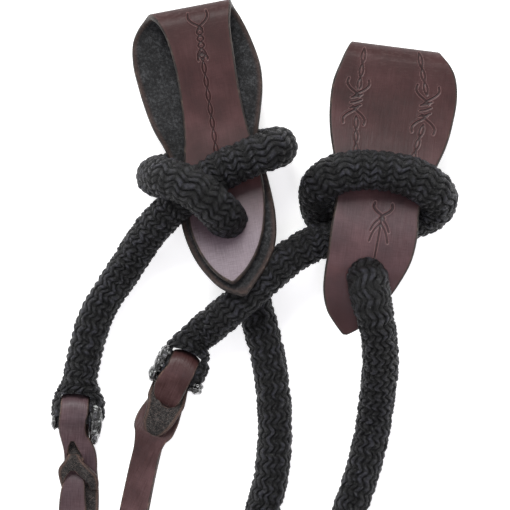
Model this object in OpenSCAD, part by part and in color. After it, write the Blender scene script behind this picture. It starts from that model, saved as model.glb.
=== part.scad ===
// Loop reins of black braided rope. Each end of the rope is hitched to a folded
// leather slobber strap, and ends in a leather lash laced through the rope.
// The reins lie flat on a surface: +Z is up and +Y runs towards the bit loops.
// The origin is on that surface, under the middle of the two knotted straps.

/* [Rope] */
// Diameter of the rope
rope_d = 16; // [15:0.25:16]
// Diameter of the coil at the middle of its outermost turn
coil_outer_d = 200; // [190:1:200]
// Diameter of the coil at the middle of its innermost turn
coil_inner_d = 136; // [130:1:140]

/* [Slobber straps] */
// Thickness of the strap leather
leather_t = 3; // [2.4:0.1:3.2]
// Radius of the fold that holds the bit ring, at the middle of the leather
fold_r = 7.5; // [6.5:0.1:8]
// Radius of the rope's hole near each tip
hole_r = 8.3; // [8.2:0.1:8.6]

/* [Lashes] */
// Width of the lash
lash_w = 13; // [11:0.5:13]
// Thickness of the lash leather
lash_t = 1.8; // [1.4:0.1:1.8]
// Length of the longer tail, measured from the rope's eye
lash_l = 135; // [100:5:150]
// Clearance between the lash's ring and the rope around it
eye_gap = 0.4; // [0.3:0.05:0.6]

/* [Hidden] */

leather_colour = [0.25, 0.15, 0.15];
rope_colour = [0.06, 0.06, 0.07];
rope_end_colour = [0.12, 0.12, 0.13];

rope_r = rope_d / 2;
rope_sides = 12;
cord_sides = 10;

// The middle of the two knotted straps, in the coordinates of the layout below
middle = [18, 40.1];

// How far joined solids run into each other, and cuts run past them
overlap = 1;

// The left half of the rope. The rein comes from the coil. The hitch goes up through the
// left strap's hole, over its front to the left, round behind it, and back over its front
// under itself. The tail goes away to the lower left.
left_rein = [
    [-33, -250.5, 8], [-28.8, -223.5, 8], [-24.5, -203, 8], [-19, -184, 8], [-12.5, -165.5, 8],
    [-6, -148, 8], [-0.5, -130, 8], [3.6, -116, 8], [6.8, -103, 8], [8.7, -89, 8],
    [9.1, -75, 8], [8.2, -62, 8], [6.2, -48, 8], [3.7, -37, 8], [0.7, -25.5, 8], [-2, -16, 8],
    [-5, -6, 8], [-7.5, 2.5, 9]
];
left_hitch = [
    [-10, 8.5, 12.5], [-11.5, 12.5, 18], [-12, 15, 24], [-13, 16.5, 32], [-16, 19.5, 40],
    [-20.5, 24, 45.5], [-26, 28.5, 47.7], [-33, 32, 45.5], [-39.5, 34, 39],
    [-43.5, 34.8, 29.5], [-44.3, 35.6, 19.5], [-41, 37, 11.5], [-34, 39.3, 8], [-18, 43.3, 8],
    [-5, 46.4, 8], [2.5, 47.9, 9.6], [8, 48.7, 14], [10.4, 48.7, 20.5], [9, 47.8, 27],
    [4.5, 46, 31.5], [-2, 43.4, 32.8], [-10, 39.8, 32.2], [-18, 35.6, 31.6], [-26, 30.2, 31.4],
    [-33, 24.4, 30.3]
];
left_tail = [
    [-40, 18, 25.5], [-47, 11, 18.5], [-53, 3.2, 12.5], [-58, -4.8, 9], [-62.4, -11, 8],
    [-66.8, -17.6, 8], [-71.2, -25, 8], [-74.3, -33, 8], [-76.8, -42, 8], [-78.6, -50.5, 8],
    [-79.8, -58, 8]
];

// The right half of the rope. The rein climbs over the right strap's tip. The hitch goes
// down through its hole, round behind it to the left, over its front, and back behind it
// over itself. The tail goes away to the lower left.
right_rein = [
    [75.4, -158.8, 24], [65.7, -156.6, 23], [57, -152.2, 20.5], [49.6, -146.2, 17],
    [44.3, -139.6, 13.3], [41.3, -132.8, 10], [41, -125.6, 8.3], [43.3, -116, 8], [47, -105, 8],
    [50.5, -93, 8], [52.8, -83, 8], [54.2, -74, 10], [55, -66, 14], [55.7, -58, 20.5],
    [56, -50, 28], [55.5, -42, 35.5], [54.3, -34, 42]
];
right_hitch = [
    [52.6, -27, 46.2], [51, -20, 47.5], [50, -14, 46], [49.6, -10.5, 41], [49.5, -9.6, 35],
    [49, -9, 29], [47.5, -7, 22], [44.5, -3, 15], [41, 2, 10], [37, 8, 8], [32.8, 14.5, 8.5],
    [29.8, 20.5, 13], [28.4, 25.8, 21], [29, 30.5, 30], [32.5, 34.3, 37], [39, 36.6, 40.3],
    [48, 37.4, 40.6], [58, 36.9, 40.6], [67, 34.9, 40.5], [75, 31.4, 38.5], [80.5, 27.2, 33.5],
    [81.5, 22.8, 27], [78, 19, 22], [71.5, 16.3, 20.5], [63, 14, 20.8], [53, 11.6, 22],
    [45, 9.6, 23.8], [37, 7.6, 24.4]
];
right_tail = [
    [30, 6.2, 24.4], [23.5, 3.8, 24.4], [15, -1.5, 24.6], [8.5, -7.3, 25], [2, -13, 25],
    [-4.5, -18.6, 24.2], [-11, -24.4, 20], [-16.5, -29.2, 14], [-21.5, -33.3, 9.6],
    [-25.5, -36.4, 8], [-28, -39, 8]
];
left_rope = concat(left_rein, left_hitch, left_tail);
right_rope = concat(right_rein, right_hitch, right_tail);
left_hitch_i = len(left_rein);
left_tail_i = left_hitch_i + len(left_hitch);
right_hitch_i = len(right_rein);
right_tail_i = right_hitch_i + len(right_hitch);

// The coil that holds the rest of the rein: two layers of two turns
coil_centre = [67, -254];
coil_layers = 2;
coil_edge_r = 6;

// Where each strap lies: the middle of its fold, and its lean from the -Y direction
left_fold = [-29.1, 112.5];
left_lean = 10.7;
right_fold = [63, 93.9];
right_lean = -7.4;
left_hole = [98.5, -1.3];
right_hole = [104.4, 0];

// Each strap's outline, as [distance from the fold, left edge, right edge]. The narrow
// half is the left strap's front and the right strap's back.
left_front_outline = [
    [-2, -18.5, 18.5], [2, -17.5, 18.2], [12, -13.8, 16], [27, -12.1, 15.2], [42, -12.3, 14.7],
    [57, -13.6, 15.2], [70, -16, 16.5], [85, -18, 17.4], [100, -18.6, 15.4],
    [112, -15.8, 10.8], [121, -10.8, 4], [127, -4.2, -4.2]
];
left_back_outline = [
    [-2, -18.5, 18.5], [2, -19.5, 19], [10, -26, 22], [20, -29.6, 24.6], [32, -29.6, 26.2],
    [42, -29, 25.2], [52, -27, 22.5], [62, -23.5, 19.5], [72, -21.3, 18.8], [84, -22, 20],
    [100, -22, 20.2], [112, -19.4, 17.8], [121, -15, 12.4], [128, -9.3, 5.6], [133, 0, 0]
];
right_front_outline = [
    [-2, -20.2, 20.2], [2, -21, 21.8], [10, -23.4, 27.9], [20, -25.9, 30.3], [32, -25.8, 29.8],
    [42, -24.3, 28.2], [52, -21.6, 25], [62, -19, 21.5], [72, -18, 19.5], [84, -18.7, 19.9],
    [95, -18.7, 18.6], [105, -19, 14.8], [113, -18.4, 10.6], [121, -15.7, 5.2],
    [127, -11, 0], [131.5, -6.5, -6.5]
];
right_back_outline = [
    [-2, -20.2, 20.2], [2, -19, 19], [12, -16, 16], [27, -14, 14.5], [42, -13.5, 14.5],
    [57, -14.5, 15], [70, -15.5, 16], [85, -16.5, 16.5], [100, -17, 14.5], [112, -15, 9],
    [121, -10.5, 3], [126, -5.5, -5.5]
];

// Each strap's two layers seen from the side, as [distance from the fold, height of the
// middle of the leather], from the end of the fold to the tip
left_fold_z = 14;
left_front_side = [
    [9, 21.5], [25, 21.2], [40, 20.6], [55, 20.6], [70, 21.8], [85, 24], [100, 27.6],
    [114, 32.6], [127, 38.6]
];
left_back_side = [
    [9, 6.5], [25, 9.2], [40, 13.2], [55, 16.8], [70, 17.8], [85, 19.6], [100, 23.4],
    [114, 28], [124, 32.4], [133, 36.4]
];
right_fold_z = 18;
right_front_side = [
    [9, 25.5], [25, 26], [40, 27.6], [55, 30.6], [70, 34], [85, 37], [95, 37.8], [105, 37.2],
    [118, 34.6], [131.5, 31]
];
right_back_side = [
    [9, 10.5], [25, 14.5], [40, 20], [55, 25.6], [70, 30.3], [85, 33.6], [95, 34.4],
    [105, 33.8], [118, 31.2], [126, 28.8]
];

// The fold's arc: the angle between its points, and how far each half runs past its end
arc_step = 15;
arc_overlap = 6;

// The block that each layer of a strap is cut from
layer_block_w = 80;
layer_block_h = 60;

// Where each lash turns on the rope's sealed end, and that end's lean from -Y
left_eye = [-80.5, -71];
left_eye_lean = -3;
left_lash_shift = -1.3;
right_eye = [-33.6, -51.2];
right_eye_lean = -23.5;
right_lash_shift = 0;
bar_r = 5.7;
eye_cut_r = bar_r + lash_t + 2 * eye_gap + 0.1;
eye_z = 8;

// The rope's flattened end, as [distance past the eye, half width]
rope_end_outline = [[-13, 8], [-8, 10.6], [-3, 12.4], [2, 12.4], [6, 11], [9, 8.8]];
rope_end_h = 15.6;

// The lash's knot and its two tails, as [distance past the eye, shift to the right]
neck_start = 5;
neck_end = 14;
neck_z = 0.2;
lash_z = 0.3;
knot_end = 33;
knot_w = 16;
knot_h = 8.6;
left_lash_line = [[knot_end - overlap, 0], [55, 0.4], [85, 1], [lash_l, 2]];
right_lash_line = [[knot_end - overlap, 0], [50, 1.6], [80, 7.5], [lash_l, 23]];
lash_tip_l = 10;
short_tail_l = 12;
short_tail_shift = 3.4;

function unit(v) = v / norm(v);
function reversed(v) = [for (i = [len(v) - 1 : -1 : 0]) v[i]];

// A smooth curve through the points p, with n steps between each pair
function between(a, b, c, d, t) =
    0.5 * (2 * b + (c - a) * t + (2 * a - 5 * b + 4 * c - d) * t * t
        + (3 * b - a - 3 * c + d) * t * t * t);
function smooth(p, n) = concat(
    [for (i = [0 : len(p) - 2], k = [0 : n - 1])
        between(p[max(i - 1, 0)], p[i], p[i + 1], p[min(i + 2, len(p) - 1)], k / n)],
    [p[len(p) - 1]]
);

// Directions along a route, and a normal carried along it without twist
function along(p, i) = unit(p[min(i + 1, len(p) - 1)] - p[max(i - 1, 0)]);
function carried(p, i, n) = i >= len(p) ? [] :
    let (t = along(p, i), m = unit(n - t * (n * t))) concat([m], carried(p, i + 1, m));

// A round tube along a route, from its point number first to its point number last
module tube(route, first, last, r, sides) {
    normals = carried(route, 0, cross(along(route, 0), [0, 0, 1]));
    points = [
        for (i = [first : last])
            let (n = normals[i], b = cross(along(route, i), n))
                for (k = [0 : sides - 1])
                    route[i] + r * (cos(360 * k / sides) * n + sin(360 * k / sides) * b)
    ];
    rings = last - first;
    walls = [
        for (i = [0 : rings - 1], k = [0 : sides - 1])
            let (a = i * sides + k, b = i * sides + (k + 1) % sides)
                each [[a, a + sides, b], [b, a + sides, b + sides]]
    ];
    start_cap = [[for (k = [0 : sides - 1]) k]];
    end_cap = [[for (k = [sides - 1 : -1 : 0]) rings * sides + k]];
    polyhedron(points = points, faces = concat(walls, start_cap, end_cap));
}

// Moves the layout so that the origin is under the middle of the knotted straps
module laid_out() {
    translate([-middle[0], -middle[1], 0])
        children();
}

module rope(route, first, last, sides, paint) {
    color(paint)
        laid_out()
            tube(route, first, last, rope_r, sides);
}

// One layer of a strap: half of the fold and the leather from there to the tip.
// turn is 1 for the upper layer and -1 for the lower one.
module strap_layer(side, outline, fold_z, turn) {
    fold_u = side[0][0];
    arc = [
        for (a = [-arc_overlap : arc_step : 90 - arc_step / 2])
            [fold_u - fold_r * cos(a), fold_z + turn * fold_r * sin(a)]
    ];
    line = concat(arc, smooth(side, 2));
    normal_line = [for (i = [0 : len(line) - 1]) let (t = along(line, i)) [-t[1], t[0]]];
    upper = [for (i = [0 : len(line) - 1]) line[i] + normal_line[i] * leather_t / 2];
    lower = [for (i = [0 : len(line) - 1]) line[i] - normal_line[i] * leather_t / 2];
    section = [for (p = concat(upper, reversed(lower))) [-p[0], p[1]]];
    edge = smooth(outline, 2);
    tip = len(edge) - 1;
    face = concat(
        [for (s = edge) [s[1], -s[0]]],
        [for (i = [tip - 1 : -1 : 0]) [edge[i][2], -edge[i][0]]]
    );
    intersection() {
        rotate([90, 0, 90])
            linear_extrude(height = layer_block_w, center = true)
                polygon(section);
        linear_extrude(height = layer_block_h)
            polygon(face);
    }
}

module strap(fold, lean, hole, fold_z, front_side, front_outline, back_side, back_outline) {
    color(leather_colour)
        laid_out()
            translate([fold[0], fold[1], 0])
                rotate([0, 0, lean])
                    difference() {
                        union() {
                            strap_layer(front_side, front_outline, fold_z, 1);
                            strap_layer(back_side, back_outline, fold_z, -1);
                        }
                        translate([hole[1], -hole[0], 0])
                            cylinder(h = layer_block_h, r = hole_r, $fn = 48);
                    }
}

module strap_left() {
    strap(left_fold, left_lean, left_hole, left_fold_z,
        left_front_side, left_front_outline, left_back_side, left_back_outline);
}

module strap_right() {
    strap(right_fold, right_lean, right_hole, right_fold_z,
        right_front_side, right_front_outline, right_back_side, right_back_outline);
}

module hitch_left() {
    rope(left_rope, left_hitch_i, left_tail_i, rope_sides, rope_colour);
}

module hitch_right() {
    rope(right_rope, right_hitch_i, right_tail_i, rope_sides, rope_colour);
}

module tail_left() {
    rope(left_rope, left_tail_i, len(left_rope) - 1, cord_sides, rope_colour);
}

module tail_right() {
    rope(right_rope, right_tail_i, len(right_rope) - 1, cord_sides, rope_colour);
}

module rein_left() {
    rope(left_rope, 0, left_hitch_i, cord_sides, rope_colour);
}

module rein_right() {
    rope(right_rope, 0, right_hitch_i, cord_sides, rope_colour);
}

// The coil's outer shape: a ring with rounded edges
module rein_coil() {
    inner = coil_inner_d / 2 - rope_r;
    outer = coil_outer_d / 2 + rope_r;
    height = coil_layers * rope_d;
    color(rope_colour)
        laid_out()
            translate([coil_centre[0], coil_centre[1], 0])
                rotate_extrude($fn = 96)
                    union() {
                        translate([inner + coil_edge_r, 0])
                            square([outer - inner - 2 * coil_edge_r, height]);
                        translate([inner, coil_edge_r])
                            square([outer - inner, height - 2 * coil_edge_r]);
                        for (x = [inner + coil_edge_r, outer - coil_edge_r])
                            for (y = [coil_edge_r, height - coil_edge_r])
                                translate([x, y])
                                    circle(r = coil_edge_r, $fn = 32);
                    }
}

// Puts a rope end or a lash in place: +Y of the child runs past the eye, +X to its left
module at_eye(eye, lean) {
    laid_out()
        translate([eye[0], eye[1], 0])
            rotate([0, 0, 180 + lean])
                children();
}

// The rope's flared and sealed end, with the slot and the round bar that the lash turns on
module rope_end(eye, lean, shift) {
    outline = smooth(rope_end_outline, 2);
    last = outline[len(outline) - 1][0];
    slot_w = lash_w + 2 * eye_gap;
    color(rope_end_colour)
        at_eye(eye, lean) {
            difference() {
                translate([0, 0, eye_z - rope_end_h / 2])
                    linear_extrude(height = rope_end_h)
                        polygon(concat(
                            [for (s = outline) [s[1], s[0]]],
                            [for (s = reversed(outline)) [-s[1], s[0]]]
                        ));
                translate([-shift - slot_w / 2, -eye_cut_r, -overlap])
                    cube([slot_w, eye_cut_r + last + overlap, rope_end_h + 2 * overlap]);
            }
            translate([-shift, 0, eye_z])
                rotate([0, 90, 0])
                    cylinder(h = slot_w + 2 * overlap, r = bar_r, center = true, $fn = 48);
        }
}

// One flat tail of a lash, with a cut corner at its tip
module lash_tail(line, shorter, shift, z) {
    edge = smooth(line, 2);
    tip = len(edge) - 1;
    half = lash_w / 2;
    translate([0, 0, z])
        linear_extrude(height = lash_t)
            polygon(concat(
                [for (i = [0 : tip - 1]) [half - edge[i][1] - shift, edge[i][0]]],
                [[half - edge[tip][1] - shift, edge[tip][0] - shorter - lash_tip_l]],
                [[-half - edge[tip][1] - shift, edge[tip][0] - shorter]],
                [for (i = [tip - 1 : -1 : 0]) [-half - edge[i][1] - shift, edge[i][0]]]
            ));
}

// The lash: a ring round the rope's bar, a neck, the knot, and two tails
module lash(eye, lean, shift, line) {
    ring_r = bar_r + eye_gap + lash_t;
    color(leather_colour)
        at_eye(eye, lean)
            translate([-shift, 0, 0]) {
                translate([0, 0, eye_z])
                    rotate([0, 90, 0])
                        difference() {
                            cylinder(h = lash_w, r = ring_r, center = true, $fn = 48);
                            cylinder(
                                h = lash_w + 2 * overlap, r = bar_r + eye_gap,
                                center = true, $fn = 48
                            );
                        }
                translate([-lash_w / 2, neck_start, neck_z])
                    cube([lash_w, neck_end + overlap - neck_start, 2 * lash_t]);
                translate([-knot_w / 2, neck_end, lash_z])
                    cube([knot_w, knot_end - neck_end, knot_h]);
                lash_tail(line, 0, 0, lash_z + lash_t);
                lash_tail(line, short_tail_l, short_tail_shift, lash_z);
            }
}

module rope_end_left() {
    rope_end(left_eye, left_eye_lean, left_lash_shift);
}

module rope_end_right() {
    rope_end(right_eye, right_eye_lean, right_lash_shift);
}

module lash_left() {
    lash(left_eye, left_eye_lean, left_lash_shift, left_lash_line);
}

module lash_right() {
    lash(right_eye, right_eye_lean, right_lash_shift, right_lash_line);
}

strap_left();
strap_right();
hitch_left();
hitch_right();
tail_left();
tail_right();
rein_left();
rein_right();
rein_coil();
rope_end_left();
rope_end_right();
lash_left();
lash_right();
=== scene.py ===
"""Loop reins: a braided rope, two leather slobber straps and two laced leather lashes.

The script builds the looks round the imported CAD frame. The routes and outlines repeat
those of the CAD source, in its layout coordinates. Lengths are in metres, apart from the
small tables whose comments say mm, which are turned into metres where they are read.
"""

import math

import bpy
import bmesh
import numpy as np
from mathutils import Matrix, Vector


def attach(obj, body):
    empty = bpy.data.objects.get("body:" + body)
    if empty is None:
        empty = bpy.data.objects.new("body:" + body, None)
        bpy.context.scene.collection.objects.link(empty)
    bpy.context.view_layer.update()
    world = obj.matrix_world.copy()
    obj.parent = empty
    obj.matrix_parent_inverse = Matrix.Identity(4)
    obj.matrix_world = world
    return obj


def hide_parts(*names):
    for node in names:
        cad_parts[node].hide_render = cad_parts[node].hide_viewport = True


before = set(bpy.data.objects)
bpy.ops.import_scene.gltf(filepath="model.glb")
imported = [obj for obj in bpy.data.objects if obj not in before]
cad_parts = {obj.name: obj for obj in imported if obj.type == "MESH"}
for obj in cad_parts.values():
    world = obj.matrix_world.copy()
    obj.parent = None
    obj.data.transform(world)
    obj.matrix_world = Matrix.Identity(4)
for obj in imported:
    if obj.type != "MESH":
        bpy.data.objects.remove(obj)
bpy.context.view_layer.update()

MM = 0.001

# --- The layout, as in the CAD source -------------------------------------------------

# The layout's point that the frame's origin is at
MIDDLE = np.array([0.018, 0.0401, 0.0])

# The left half of the rope: the rein from the coil, the hitch and the tail
LEFT_REIN = [
    (-0.033, -0.2505, 0.008), (-0.0288, -0.2235, 0.008), (-0.0245, -0.203, 0.008),
    (-0.019, -0.184, 0.008), (-0.0125, -0.1655, 0.008), (-0.006, -0.148, 0.008),
    (-0.0005, -0.13, 0.008), (0.0036, -0.116, 0.008), (0.0068, -0.103, 0.008),
    (0.0087, -0.089, 0.008), (0.0091, -0.075, 0.008), (0.0082, -0.062, 0.008),
    (0.0062, -0.048, 0.008), (0.0037, -0.037, 0.008), (0.0007, -0.0255, 0.008),
    (-0.002, -0.016, 0.008), (-0.005, -0.006, 0.008), (-0.0075, 0.0025, 0.009),
]
LEFT_HITCH = [
    (-0.01, 0.0085, 0.0125), (-0.0115, 0.0125, 0.018), (-0.012, 0.015, 0.024),
    (-0.013, 0.0165, 0.032), (-0.016, 0.0195, 0.04), (-0.0205, 0.024, 0.0455),
    (-0.026, 0.0285, 0.0477), (-0.033, 0.032, 0.0455), (-0.0395, 0.034, 0.039),
    (-0.0435, 0.0348, 0.0295), (-0.0443, 0.0356, 0.0195), (-0.041, 0.037, 0.0115),
    (-0.034, 0.0393, 0.008), (-0.018, 0.0433, 0.008), (-0.005, 0.0464, 0.008),
    (0.0025, 0.0479, 0.0096), (0.008, 0.0487, 0.014), (0.0104, 0.0487, 0.0205),
    (0.009, 0.0478, 0.027), (0.0045, 0.046, 0.0315), (-0.002, 0.0434, 0.0328),
    (-0.01, 0.0398, 0.0322), (-0.018, 0.0356, 0.0316), (-0.026, 0.0302, 0.0314),
    (-0.033, 0.0244, 0.0303),
]
LEFT_TAIL = [
    (-0.04, 0.018, 0.0255), (-0.047, 0.011, 0.0185), (-0.053, 0.0032, 0.0125),
    (-0.058, -0.0048, 0.009), (-0.0624, -0.011, 0.008), (-0.0668, -0.0176, 0.008),
    (-0.0712, -0.025, 0.008), (-0.0743, -0.033, 0.008), (-0.0768, -0.042, 0.008),
    (-0.0786, -0.0505, 0.008), (-0.0798, -0.058, 0.008),
]

# The right half of the rope: the rein from the coil, the hitch and the tail
RIGHT_REIN = [
    (0.0754, -0.1588, 0.024), (0.0657, -0.1566, 0.023), (0.057, -0.1522, 0.0205),
    (0.0496, -0.1462, 0.017), (0.0443, -0.1396, 0.0133), (0.0413, -0.1328, 0.01),
    (0.041, -0.1256, 0.0083), (0.0433, -0.116, 0.008), (0.047, -0.105, 0.008),
    (0.0505, -0.093, 0.008), (0.0528, -0.083, 0.008), (0.0542, -0.074, 0.01),
    (0.055, -0.066, 0.014), (0.0557, -0.058, 0.0205), (0.056, -0.05, 0.028),
    (0.0555, -0.042, 0.0355), (0.0543, -0.034, 0.042),
]
RIGHT_HITCH = [
    (0.0526, -0.027, 0.0462), (0.051, -0.02, 0.0475), (0.05, -0.014, 0.046),
    (0.0496, -0.0105, 0.041), (0.0495, -0.0096, 0.035), (0.049, -0.009, 0.029),
    (0.0475, -0.007, 0.022), (0.0445, -0.003, 0.015), (0.041, 0.002, 0.01), (0.037, 0.008, 0.008),
    (0.0328, 0.0145, 0.0085), (0.0298, 0.0205, 0.013), (0.0284, 0.0258, 0.021),
    (0.029, 0.0305, 0.03), (0.0325, 0.0343, 0.037), (0.039, 0.0366, 0.0403),
    (0.048, 0.0374, 0.0406), (0.058, 0.0369, 0.0406), (0.067, 0.0349, 0.0405),
    (0.075, 0.0314, 0.0385), (0.0805, 0.0272, 0.0335), (0.0815, 0.0228, 0.027),
    (0.078, 0.019, 0.022), (0.0715, 0.0163, 0.0205), (0.063, 0.014, 0.0208), (0.053, 0.0116, 0.022),
    (0.045, 0.0096, 0.0238), (0.037, 0.0076, 0.0244),
]
RIGHT_TAIL = [
    (0.03, 0.0062, 0.0244), (0.0235, 0.0038, 0.0244), (0.015, -0.0015, 0.0246),
    (0.0085, -0.0073, 0.025), (0.002, -0.013, 0.025), (-0.0045, -0.0186, 0.0242),
    (-0.011, -0.0244, 0.02), (-0.0165, -0.0292, 0.014), (-0.0215, -0.0333, 0.0096),
    (-0.0255, -0.0364, 0.008), (-0.028, -0.039, 0.008),
]

ROPE_RADIUS = 0.008

# The coil: its centre, the direction from there to where the rope enters it, and its
# turns. The lower layer winds inwards, and the upper layer winds out again.
COIL_CENTRE = (0.067, -0.254)
COIL_ENTRY = math.radians(178)
COIL_OUTER = 0.100
COIL_PITCH = 2 * ROPE_RADIUS
COIL_LOWER_TURNS = 2.0
COIL_UPPER_TURNS = 1.742
COIL_CLIMB_TURNS = 0.2
COIL_POINTS_PER_TURN = 40

# Where each lash turns in the rope's end, that end's lean, and how far past it the rope goes
LEFT_EYE = (-0.0805, -0.071)
LEFT_EYE_LEAN = math.radians(-3)
RIGHT_EYE = (-0.0336, -0.0512)
RIGHT_EYE_LEAN = math.radians(-23.5)
EYE_HEIGHT = 0.008
ROPE_END_START = -0.013
ROPE_END_LENGTH = 0.0225
LAST_BEND_PAST = -0.003

# Where each strap lies: the middle of its fold, its lean, its fold's height and its hole
LEFT_FOLD = (-0.0291, 0.1125)
LEFT_LEAN = math.radians(10.7)
LEFT_FOLD_HEIGHT = 0.014
LEFT_HOLE = (0.0985, -0.0013)
RIGHT_FOLD = (0.063, 0.0939)
RIGHT_LEAN = math.radians(-7.4)
RIGHT_FOLD_HEIGHT = 0.018
RIGHT_HOLE = (0.1044, 0.0)
FOLD_RADIUS = 0.0075
HOLE_RADIUS = 0.0077
LEATHER_THICKNESS = 0.003

# Each strap's outline, as (distance from the fold, left edge, right edge), and its side
# view, as (distance from the fold, height of the middle of the leather)
LEFT_FRONT_OUTLINE = [
    (-0.002, -0.0185, 0.0185), (0.002, -0.0175, 0.0182), (0.012, -0.0138, 0.016),
    (0.027, -0.0121, 0.0152), (0.042, -0.0123, 0.0147), (0.057, -0.0136, 0.0152),
    (0.07, -0.016, 0.0165), (0.085, -0.018, 0.0174), (0.1, -0.0186, 0.0154),
    (0.112, -0.0158, 0.0108), (0.121, -0.0108, 0.004), (0.127, -0.0042, -0.0042),
]
LEFT_BACK_OUTLINE = [
    (-0.002, -0.0185, 0.0185), (0.002, -0.0225, 0.019), (0.01, -0.0287, 0.022),
    (0.02, -0.0308, 0.0246), (0.032, -0.0302, 0.0262), (0.042, -0.029, 0.0252),
    (0.052, -0.027, 0.0225), (0.062, -0.0235, 0.0195), (0.072, -0.0213, 0.0188),
    (0.084, -0.022, 0.02), (0.1, -0.022, 0.0202), (0.112, -0.0194, 0.0178), (0.121, -0.015, 0.0124),
    (0.128, -0.0093, 0.0056), (0.133, 0.0, 0.0),
]
RIGHT_FRONT_OUTLINE = [
    (-0.002, -0.0202, 0.0202), (0.002, -0.021, 0.0218), (0.01, -0.0234, 0.0279),
    (0.02, -0.0259, 0.0303), (0.032, -0.0258, 0.0298), (0.042, -0.0243, 0.0282),
    (0.052, -0.0216, 0.025), (0.062, -0.019, 0.0215), (0.072, -0.018, 0.0195),
    (0.084, -0.0187, 0.0199), (0.095, -0.0187, 0.0186), (0.105, -0.019, 0.0148),
    (0.113, -0.0184, 0.0106), (0.121, -0.0157, 0.0052), (0.127, -0.011, 0.0),
    (0.1315, -0.0065, -0.0065),
]
RIGHT_BACK_OUTLINE = [
    (-0.002, -0.0202, 0.0202), (0.002, -0.019, 0.019), (0.012, -0.016, 0.016),
    (0.027, -0.014, 0.0145), (0.042, -0.0135, 0.0145), (0.057, -0.0145, 0.015),
    (0.07, -0.0155, 0.016), (0.085, -0.0165, 0.0165), (0.1, -0.017, 0.0145), (0.112, -0.015, 0.009),
    (0.121, -0.0105, 0.003), (0.126, -0.0055, -0.0055),
]
LEFT_FRONT_SIDE = [
    (0.009, 0.0215), (0.025, 0.0212), (0.04, 0.0206), (0.055, 0.0206), (0.07, 0.0218),
    (0.085, 0.024), (0.1, 0.0276), (0.114, 0.0326), (0.127, 0.0386),
]
LEFT_BACK_SIDE = [
    (0.009, 0.0065), (0.025, 0.0092), (0.04, 0.0132), (0.055, 0.0168), (0.07, 0.0178),
    (0.085, 0.0196), (0.1, 0.0234), (0.114, 0.028), (0.124, 0.0324), (0.133, 0.0364),
]
RIGHT_FRONT_SIDE = [
    (0.009, 0.0255), (0.025, 0.026), (0.04, 0.0276), (0.055, 0.0306), (0.07, 0.034), (0.085, 0.037),
    (0.095, 0.0378), (0.105, 0.0372), (0.118, 0.0346), (0.1315, 0.031),
]
RIGHT_BACK_SIDE = [
    (0.009, 0.0105), (0.025, 0.0145), (0.04, 0.02), (0.055, 0.0256), (0.07, 0.0303),
    (0.085, 0.0336), (0.095, 0.0344), (0.105, 0.0338), (0.118, 0.0312), (0.126, 0.0288),
]

# --- Camera, lights and floor ---------------------------------------------------------

# The camera looks straight down at the middle of the layout
CAMERA_HEIGHT = 1.0
VIEW_WIDTH = 0.2295
VIEW_DISTANCE = 0.980
SENSOR_WIDTH = 36.0

WHITE = (1.0, 1.0, 1.0)
WORLD_LIGHT = 0.30
# Each lamp's name, place, target, size, power and colour
LAMPS = [
    ("key", (-0.30, 0.95, 1.15), (0.0, 0.0, 0.0), 0.8, 23.0, WHITE),
    ("fill", (-0.9, -0.5, 1.0), (0.0, 0.0, 0.0), 0.9, 2.5, WHITE),
    ("sheen", (0.08, -0.42, 1.1), (0.0, -0.03, 0.0), 0.35, 2.6, (0.90, 0.86, 1.0)),
    ("rim", (0.9, 0.1, 0.9), (0.0, 0.0, 0.0), 0.8, 3.5, WHITE),
]
FLOOR_HALF = 20.0
FLOOR_GREY = 0.8
FLOOR_GLOW = 0.66


def link(name, data):
    """A new object in the scene."""
    thing = bpy.data.objects.new(name, data)
    bpy.context.scene.collection.objects.link(thing)
    return thing


def add_camera():
    data = bpy.data.cameras.new("camera")
    data.sensor_width = SENSOR_WIDTH
    data.lens = SENSOR_WIDTH * VIEW_DISTANCE / VIEW_WIDTH
    camera = link("camera", data)
    camera.location = (-MIDDLE[0], -MIDDLE[1], CAMERA_HEIGHT)
    bpy.context.scene.camera = camera


def add_studio():
    world = bpy.data.worlds.new("studio")
    bpy.context.scene.world = world
    world.use_nodes = True
    sky = world.node_tree.nodes["Background"]
    sky.inputs["Color"].default_value = (*WHITE, 1.0)
    sky.inputs["Strength"].default_value = WORLD_LIGHT
    for name, place, target, size, power, colour in LAMPS:
        data = bpy.data.lights.new(name, "AREA")
        data.size, data.energy, data.color = size, power, colour
        lamp = link(name, data)
        lamp.location = place
        lamp.rotation_euler = (Vector(target) - Vector(place)).to_track_quat("-Z", "Y").to_euler()
    bpy.context.scene.view_settings.view_transform = "Standard"


def add_floor():
    """A pale floor that glows a little, so that the shadows on it are faint."""
    reach = FLOOR_HALF
    corners = [(-reach, -reach, 0), (reach, -reach, 0), (reach, reach, 0), (-reach, reach, 0)]
    mesh = bpy.data.meshes.new("floor")
    mesh.from_pydata(corners, [], [(0, 1, 2, 3)])
    mesh.materials.append(Paint("floor", {
        "Base Color": (FLOOR_GREY, FLOOR_GREY, FLOOR_GREY, 1.0), "Roughness": 0.9,
        "Emission Color": (*WHITE, 1.0), "Emission Strength": FLOOR_GLOW,
    }).material)
    link("floor", mesh)


# --- Meshes ---------------------------------------------------------------------------

WOBBLE_DRAWS = 4096
UP = np.array([0.0, 0.0, 1.0])


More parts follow.
